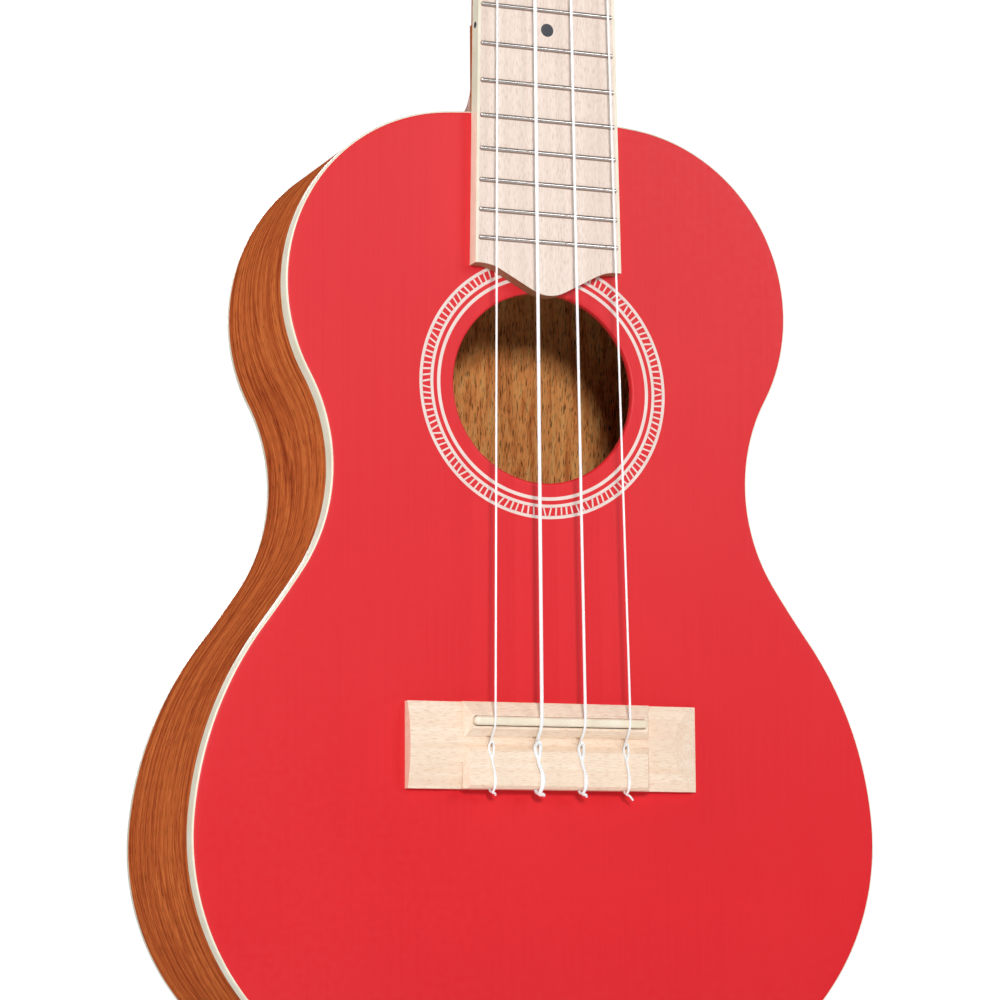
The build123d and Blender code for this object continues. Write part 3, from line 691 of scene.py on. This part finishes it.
# Each tie leans its own way, and its cut end sticks out sideways and down
KNOT_LEAN = (0.9, 1.2, 1.1, 0.6)
TAIL_REACH = ((0.8, -0.7), (1.3, -0.4), (1.1, -0.7), (1.9, -1.6))
TURNS = 3
TURN_STEPS = 16
for index in range(4):
    r = STRING_R[index]
    x = SADDLE_X[index]
    nx = NUT_X[index]
    side, height = tuner_places[STRING_TUNER[index] - 1]
    turns_top = WINDING_LOW + 6 * r
    reach = POST_R + r + 0.3
    post_end = head_point(side * (POST_X - reach), height, turns_top + r + 0.3)
    nut_point = (nx, -NUT_SLOT - r, NUT_W + 0.4)
    top = -TIE_H - r - 0.02
    lean = KNOT_LEAN[index]
    rise = SADDLE_H - NUT_SLOT

    def at(dx, y, dz):
        """A point beside the string's place on the saddle."""
        return (x + dx, y, SADDLE_Z + dz)

    eye = 0.45 + 0.7 * r
    route = [
        post_end,
        [(a + b) / 2 for a, b in zip(post_end, nut_point)],
        [a + (b - a) * 0.94 for a, b in zip(post_end, nut_point)],
        nut_point,
        (nx, -NUT_SLOT - r, 0.0),
        (nx + (x - nx) * 0.3, -NUT_SLOT - r - 0.3 * rise, -113.3),
        (nx + (x - nx) * 0.7, -NUT_SLOT - r - 0.7 * rise, -264.4),
        at(0, -SADDLE_H - r - 0.05, 2.4),
        at(0, -SADDLE_H - r - 0.05, 0.4),
        at(0, -SADDLE_H - r + 0.15, -1.0),
        at(0.0, -7.9 - r, -2.5),
        at(0.0, -6.0 - r, -4.5),
        at(0.0, -4.9 - r * 0.5, -5.9),
        at(0.0, -4.4, -7.4),
        at(0.0, -4.4, -12.0),
        at(0.0, -4.4, -17.8),
        at(0.1, -4.5, -18.9),
        at(0.3 * lean, -5.6, -18.95 - r),
        at(0.7 * lean, top + 0.1, -18.4 - r),
        at(0.8 * lean, top, -16.8),
        at(0.55 * lean + r, top, -13.5),
        at(0.2 * lean - r * 0.6, top, -10.4),
        at(-0.35 - 0.4 * r, top + 0.1, -9.0),
        at(-eye, top + 0.7, -7.6),
        at(-eye * 0.95, -5.6 - r, -6.3),
        at(-0.1, -6.9 - 2.4 * r, -5.2),
        at(eye * 0.95, -5.9 - 1.6 * r, -6.2),
        at(eye * 0.8, top + 0.2, -7.8),
        at(0.15, top - 1.5 * r, -9.2),
        at(0.1 * lean - r, top - 0.9 * r, -10.9),
        at(0.45 * lean - 0.2 * r, top - r, -12.6),
        at(0.65 * lean + r * 1.2, top - 0.4 * r, -14.6),
        at(0.95 * lean + r * 0.6, top - 0.5 * r, -16.6),
        at(1.0 * lean - r * 0.5, top - 0.9 * r, -17.9),
        at(0.8 * lean - 1.6 * r, -6.0 - 1.5 * r, -18.9 - r),
        at(0.7 * lean - 0.4 * r, -5.3 - r, -19.3 - r),
        at(0.9 * lean + 1.2 * r, -5.4 - 1.5 * r, -19.0 - r),
        at(0.8 * lean + TAIL_REACH[index][0], -5.0, -18.9 - r + TAIL_REACH[index][1]),
    ]
    string = tube(f"string_{index + 1}_strand", route, r, NYLON, "instrument", 4, 8)
    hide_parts(f"string_{index + 1}")

    # Its turns round the post, which turn with it
    turns = []
    for k in range(TURNS * TURN_STEPS + 1):
        a = 2 * math.pi * k / TURN_STEPS
        out = WINDING_LOW + r + (turns_top - 2 * r - WINDING_LOW) * k / (TURNS * TURN_STEPS)
        across = side * (POST_X - (POST_R + r) * math.cos(a))
        turns.append(head_point(across, height + (POST_R + r) * math.sin(a), out))
    post = f"post_{STRING_TUNER[index]}"
    coil = tube(f"string_{index + 1}_turns", turns, r * 0.98, NYLON, post, 3, 3)
    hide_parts(f"string_{index + 1}_winding")

# ---------------------------------------------------------------- floor, light and camera
floor_shader = Shader("studio_floor", (0.86, 0.86, 0.86, 1.0), 0.9)
floor_shader.bsdf.inputs["Emission Color"].default_value = (1.0, 1.0, 1.0, 1.0)
floor_shader.bsdf.inputs["Emission Strength"].default_value = 0.05
bpy.ops.mesh.primitive_plane_add(size=FLOOR_SIZE, location=(0.0, 0.0, body_low.z - FLOOR_DROP))
floor = bpy.context.object
floor.name = "studio_floor"
floor.data.materials.append(floor_shader.material)

# A white background to the camera, which lights the instrument only faintly
world = bpy.data.worlds.new("studio")
bpy.context.scene.world = world
world.use_nodes = True
sky = world.node_tree.nodes["Background"]
sky.inputs["Color"].default_value = (1.0, 1.0, 1.0, 1.0)
light_path = world.node_tree.nodes.new("ShaderNodeLightPath")
sky_strength = world.node_tree.nodes.new("ShaderNodeMapRange")
sky_strength.inputs["To Min"].default_value = 0.07
sky_strength.inputs["To Max"].default_value = 1.05
world.node_tree.links.new(light_path.outputs["Is Camera Ray"], sky_strength.inputs["Value"])
world.node_tree.links.new(sky_strength.outputs[0], sky.inputs["Strength"])


def area_light(name, location, target, size, power):
    """A round soft light aimed at a point."""
    data = bpy.data.lights.new(name, "AREA")
    data.shape = "DISK"
    data.size = size
    data.energy = power
    lamp = bpy.data.objects.new(name, data)
    bpy.context.scene.collection.objects.link(lamp)
    lamp.location = location
    direction = Vector(target) - Vector(location)
    lamp.rotation_euler = direction.to_track_quat("-Z", "Y").to_euler()


middle = Vector((0.0, 0.02, -0.33))
area_light("key", (-0.31, -1.36, -0.10), middle, 0.24, 10.8)
area_light("sheen", (0.95, -1.3, 0.3), middle, 0.9, 7.6)
area_light("left_fill", (-1.45, -0.1, 0.35), middle, 0.8, 14.0)
area_light("right_fill", (1.5, 0.2, 0.1), middle, 1.0, 7.0)
area_light("back_fill", (0.3, 1.6, 0.1), middle, 1.0, 12.0)

# The camera stands in front of the left side, a little below the bridge, and looks slightly up
CAMERA_PLACE = (-0.33241, -0.80492, -0.44167)
LENS = 113.974
camera_data = bpy.data.cameras.new("camera")
camera_data.lens = LENS
camera_data.sensor_width = 36.0
camera = bpy.data.objects.new("camera", camera_data)
bpy.context.scene.collection.objects.link(camera)
pitch, roll, yaw = 0.14145, -0.0057, 0.37737
ahead = Vector((math.sin(yaw) * math.cos(pitch), math.cos(yaw) * math.cos(pitch), math.sin(pitch)))
right = Vector((math.cos(yaw), -math.sin(yaw), 0.0))
up = right.cross(ahead)
turned_right = right * math.cos(roll) + up * math.sin(roll)
turned_up = -right * math.sin(roll) + up * math.cos(roll)
rotation = Matrix((turned_right, turned_up, -ahead)).transposed()
camera.matrix_world = Matrix.Translation(CAMERA_PLACE) @ rotation.to_4x4()
bpy.context.scene.camera = camera

bpy.context.scene.view_settings.view_transform = "Standard"
bpy.context.scene.view_settings.look = "None"
